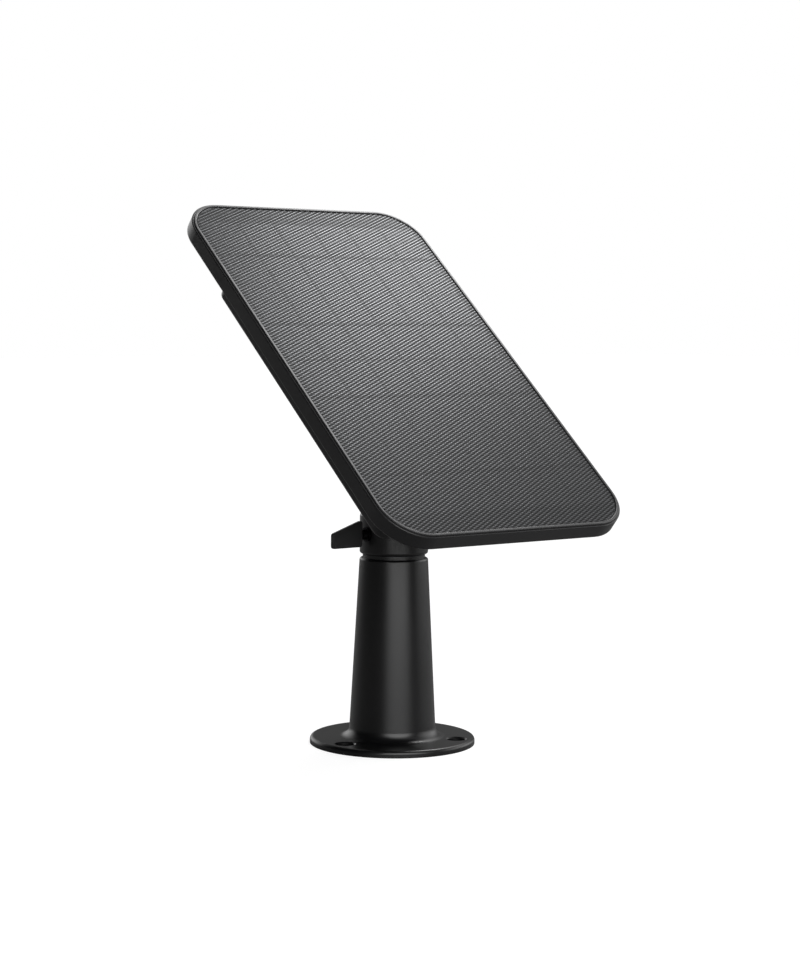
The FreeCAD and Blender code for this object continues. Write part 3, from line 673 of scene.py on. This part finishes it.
class SOLAR_OT_electronics(bpy.types.Operator):
    """Finish the circuit board and its parts"""
    bl_idname = "solar.electronics"
    bl_label = "Circuit board"

    def execute(self, context):
        # solder mask over glass fibre: glossy lacquer with the tracks' faint relief
        mask = moulded("solder_masked_glass_fibre", linear("#0f4a2c"), grain_mm=1.6, depth_mm=0.03,
                       smooth=0.25, rough=0.4, change=0.2)
        dress(mask, "circuit_board")
        # pressed and fired ferrite: dull and slightly porous
        ferrite = moulded("fired_ferrite", linear("#2b2b2d"), grain_mm=0.3, depth_mm=0.03,
                          smooth=0.6, rough=0.75, change=0.2)
        dress(ferrite, "inductor")
        # fired ceramic with a glassy skin
        ceramic = moulded("fired_ceramic_body", linear("#9c7a52"), grain_mm=0.5, depth_mm=0.01,
                          smooth=0.35, rough=0.5)
        dress(ceramic, "output_capacitors")
        # epoxy moulding compound: fine and matt
        epoxy = moulded("epoxy_moulding_compound", linear("#161617"), grain_mm=0.25, depth_mm=0.015,
                        smooth=0.5, rough=0.62)
        dress(epoxy, "regulator_chip", "blocking_diode")
        return {"FINISHED"}


class SOLAR_OT_stand(bpy.types.Operator):
    """Finish the post, its flange, the ball head and the lever"""
    bl_idname = "solar.stand"
    bl_label = "Stand and head"

    def execute(self, context):
        colours = context.scene.solar_colours
        # die-cast aluminium under satin powder coat: an even, slightly pebbled film that reads as soft sheen
        post = moulded("satin_powder_coat", colours.stand, grain_mm=0.7, depth_mm=0.006,
                       smooth=0.29, rough=0.34)
        dress(post, "stand_cone")
        # the same coat, a little glossier on the head
        head = moulded("satin_powder_coat_head", colours.stand, grain_mm=0.7, depth_mm=0.006,
                       smooth=0.28, rough=0.33)
        dress(head, "head_shell", "retaining_ring")
        # moulded nylon: drier and duller than the coat
        lever = moulded("moulded_nylon_lever", colours.lever, grain_mm=0.35, depth_mm=0.02,
                        smooth=0.5, rough=0.6)
        dress(lever, "lever_paddle")
        # acetal friction ring, turned: smooth and black
        ring = moulded("turned_acetal_ring", linear("#0f0f10"), grain_mm=0.5, depth_mm=0.004,
                       smooth=0.25, rough=0.35)
        dress(ring, "neck_ring")
        # natural nylon wearing parts: creamy, with a soft gloss
        nylon = moulded("natural_nylon", linear("#d8d2c2"), grain_mm=0.5, depth_mm=0.01,
                        smooth=0.4, rough=0.5, change=0.06)
        dress(nylon, "ball_seat", "pressure_shoe")
        return {"FINISHED"}


class SOLAR_OT_hardware(bpy.types.Operator):
    """Finish the ball stud, lock wheel, screws, springs, inserts and rubber"""
    bl_idname = "solar.hardware"
    bl_label = "Hardware"

    def execute(self, context):
        colours = context.scene.solar_colours
        # turned steel, black-oxided: dark metal with fine turning lines
        oxided = machined("black_oxided_turned_steel", linear("#2a2a2c"), smooth=0.28, rough=0.4)
        dress(oxided, "ball_stud")
        # knurled aluminium, black anodised: darker, with a drier gloss
        anodised = machined("black_anodised_aluminium", linear("#1d1d1f"), smooth=0.35, rough=0.48)
        dress(anodised, "lock_wheel")
        # zinc-plated steel: pale grey, lightly brushed
        plated = machined("zinc_plated_steel", colours.steel, smooth=0.25, rough=0.42)
        dress(plated, "swivel_bolt", "swivel_nut", "swivel_washer", "seat_spring", "board_screws")
        # blackened steel on the outside screws, the lever's washer and its bush: they don't stand out
        blackened = machined("blackened_steel", linear("#29292a"), smooth=0.3, rough=0.45)
        dress(blackened, "cover_screws", "clamp_screw", "lever_washer", "clamp_bush")
        # turned brass: warm, with bright turning lines
        brass = machined("turned_brass", colours.brass, smooth=0.2, rough=0.35)
        dress(brass, "threaded_insert")
        # moulded rubber: matt, slightly dusty
        rubber = moulded("moulded_rubber", colours.rubber, grain_mm=0.4, depth_mm=0.03,
                         smooth=0.7, rough=0.85, change=0.2)
        dress(rubber, "base_pad", "cover_gasket", "gland_seal", "stud_washer")
        return {"FINISHED"}


class SOLAR_OT_stage(bpy.types.Operator):
    """Set up the floor, the soft lights and the camera"""
    bl_idname = "solar.stage"
    bl_label = "Stage"

    def execute(self, context):
        sizes = context.scene.solar_sizes
        add_floor(sizes, context.scene.solar_colours)
        add_world(sizes)
        add_near_softbox(sizes)
        add_camera(sizes)
        context.scene.view_settings.view_transform = "Standard"
        return {"FINISHED"}


class SOLAR_PT_sidebar(bpy.types.Panel):
    """Lists every step, size and colour"""
    bl_idname = "SOLAR_PT_sidebar"
    bl_label = "Solar Panel Stand"
    bl_space_type = "VIEW_3D"
    bl_region_type = "UI"
    bl_category = "Solar Panel"

    def draw(self, context):
        for step in STEPS:
            self.layout.operator(step.bl_idname)
        for group in (context.scene.solar_sizes, context.scene.solar_colours):
            for name in group.__annotations__:
                self.layout.prop(group, name)


STEPS = (SOLAR_OT_film, SOLAR_OT_housing, SOLAR_OT_laminate, SOLAR_OT_electronics, SOLAR_OT_stand,
         SOLAR_OT_hardware, SOLAR_OT_stage)
CLASSES = (SolarSizes, SolarColours, *STEPS, SOLAR_PT_sidebar)


def register():
    """Registers every class and hangs the two property groups on the scene."""
    for cls in CLASSES:
        bpy.utils.register_class(cls)
    bpy.types.Scene.solar_sizes = PointerProperty(type=SolarSizes)
    bpy.types.Scene.solar_colours = PointerProperty(type=SolarColours)


def unregister():
    """Takes away what register added."""
    del bpy.types.Scene.solar_colours
    del bpy.types.Scene.solar_sizes
    for cls in reversed(CLASSES):
        bpy.utils.unregister_class(cls)


def main():
    """Registers the classes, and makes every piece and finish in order."""
    register()
    bpy.ops.solar.film()
    bpy.ops.solar.housing()
    bpy.ops.solar.laminate()
    bpy.ops.solar.electronics()
    bpy.ops.solar.stand()
    bpy.ops.solar.hardware()
    bpy.ops.solar.stage()


if __name__ == "__main__":
    main()
